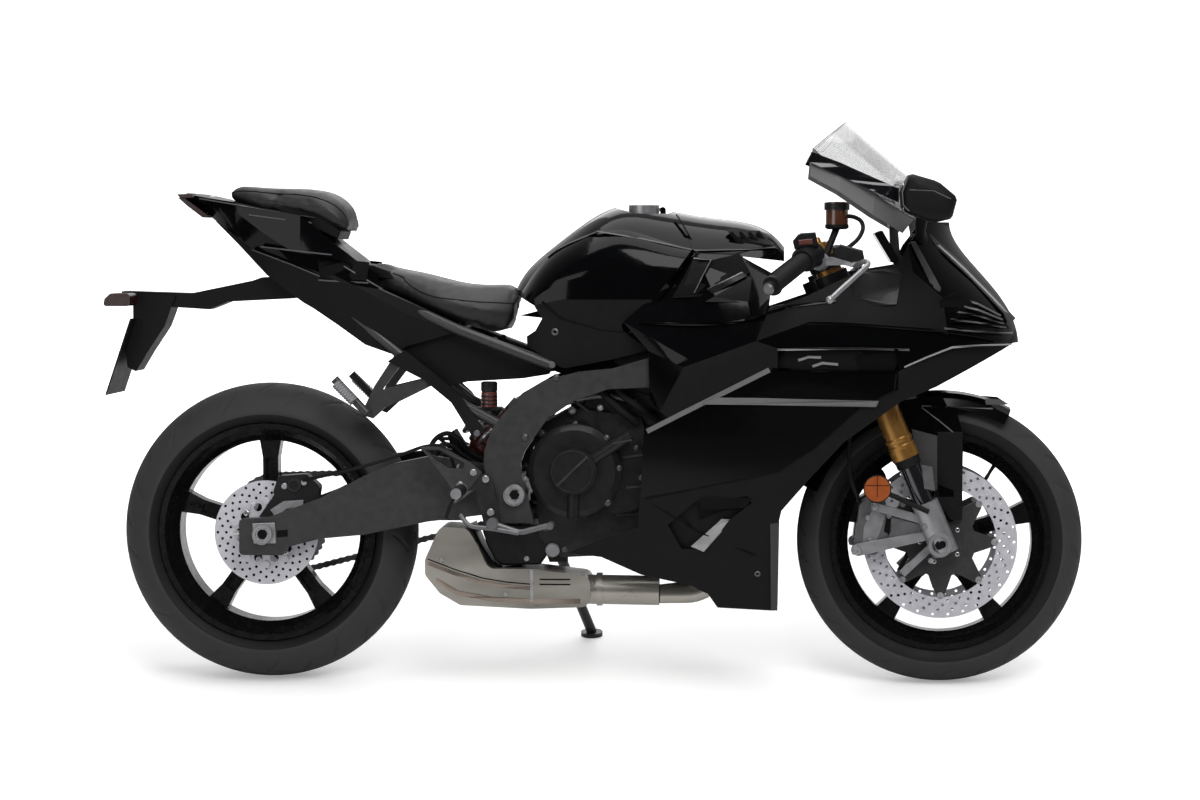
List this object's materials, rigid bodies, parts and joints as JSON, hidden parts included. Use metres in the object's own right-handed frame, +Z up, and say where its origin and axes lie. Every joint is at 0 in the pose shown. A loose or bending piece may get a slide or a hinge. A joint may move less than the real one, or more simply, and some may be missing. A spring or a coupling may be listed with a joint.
{
  "type": "sport motorcycle",
  "caption": "Parked sport motorcycle with full fairing, twin-spar frame, turning wheels, steering, folding side stand and hinged filler cap.",
  "frame": {"origin": "floor under the middle of the parked bike's bounding box", "axes": "+X towards the front of the bike, +Y towards its left side, where the stand is, +Z up; the bike leans about 10 degrees to +Y on its side stand, with the steering straight"},
  "size_m": [2.0594, 0.7689, 1.1658],
  "materials": {
    "alloy": "silver",
    "chrome": "hard chrome",
    "disc_steel": "ground steel",
    "engine_black": "matt black paint",
    "engine_metal": "cast, grey",
    "fork_gold": "gold anodised",
    "frame_black": "satin black paint",
    "gloss_black": "gloss black paint",
    "grip_rubber": "black ribbed rubber",
    "lamp_red": "red lens",
    "lens_clear": "clear lens",
    "lens_dark": "dark display",
    "matt_black": "matt dark grey",
    "matt_grey": "matt grey",
    "muffler_steel": "warm brushed steel",
    "reflector_amber": "amber lens",
    "reservoir_black": "black cap on a smoky cup",
    "screen_clear": "clear, slightly grey",
    "seat_cover": "black grained cover",
    "shock_red": "red-brown paint",
    "steel": "bright steel",
    "tyre_rubber": "dark grey",
    "wheel_black": "gloss black paint"
  },
  "bodies": {
    "chassis": {"main_frame": "frame_black", "subframe": "frame_black", "engine": "engine_metal", "engine_covers": "engine_black", "radiator": "engine_black", "exhaust": "muffler_steel", "swingarm": "frame_black", "rear_axle": "steel", "rear_shock": "shock_red", "chain": "steel", "rear_caliper": "alloy", "fuel_tank": "gloss_black", "knee_covers": "matt_black", "rider_seat": "seat_cover", "passenger_seat": "seat_cover", "tail_cowl": "gloss_black", "tail_covers": "matt_black", "plate_holder": "matt_black", "rear_lamps": "lamp_red", "side_fairings": "gloss_black", "lower_fairings": "matt_black", "upper_cowls": "gloss_black", "inner_fairings": "matt_black", "side_panels": "gloss_black", "nose_cowl": "gloss_black", "fairing_stay": "frame_black", "cockpit": "matt_black", "headlamp": "lens_clear", "windscreen": "screen_clear", "screen_surround": "matt_grey", "dash": "lens_dark", "mirrors": "matt_black", "rearsets": "frame_black", "footpegs": "alloy", "pedals": "alloy", "passenger_pegs": "alloy"},
    "steering": {"fork_outers": "fork_gold", "fork_inners": "chrome", "fork_bottoms": "alloy", "yokes": "alloy", "handlebars": "grip_rubber", "levers": "alloy", "brake_reservoir": "reservoir_black", "front_calipers": "alloy", "front_fender": "matt_black", "fork_reflectors": "reflector_amber"},
    "front_wheel": {"front_rim": "wheel_black", "front_tyre": "tyre_rubber", "front_discs": "disc_steel"},
    "rear_wheel": {"rear_rim": "wheel_black", "rear_tyre": "tyre_rubber", "rear_disc": "disc_steel"},
    "side_stand": {"side_stand": "frame_black"},
    "fuel_cap": {"fuel_cap": "alloy"}
  },
  "joints": [
    {"name": "rear_wheel_spin", "type": "hinge", "parent": "chassis", "child": "rear_wheel", "pos_m": [-0.686, -0.07647, 0.31067], "axis": [0, 0.9848, -0.1736], "continuous": true},
    {"name": "steering_turn", "type": "hinge", "parent": "chassis", "child": "steering", "pos_m": [0.53783, -0.01004, 0.68746], "axis": [-0.3843, 0.1603, 0.9092], "range_deg": [-28, 28]},
    {"name": "front_wheel_spin", "type": "hinge", "parent": "steering", "child": "front_wheel", "pos_m": [0.734, -0.07899, 0.29638], "axis": [0, 0.9848, -0.1736], "continuous": true},
    {"name": "side_stand_fold", "type": "hinge", "parent": "chassis", "child": "side_stand", "pos_m": [-0.0825, 0.0602, 0.22196], "axis": [0, 0.9848, -0.1736], "range_deg": [0, 98]},
    {"name": "fuel_cap_lift", "type": "hinge", "parent": "chassis", "child": "fuel_cap", "pos_m": [0.14945, 0.04188, 0.9819], "axis": [0, 0.9848, -0.1736], "range_deg": [0, 95]}
  ]
}
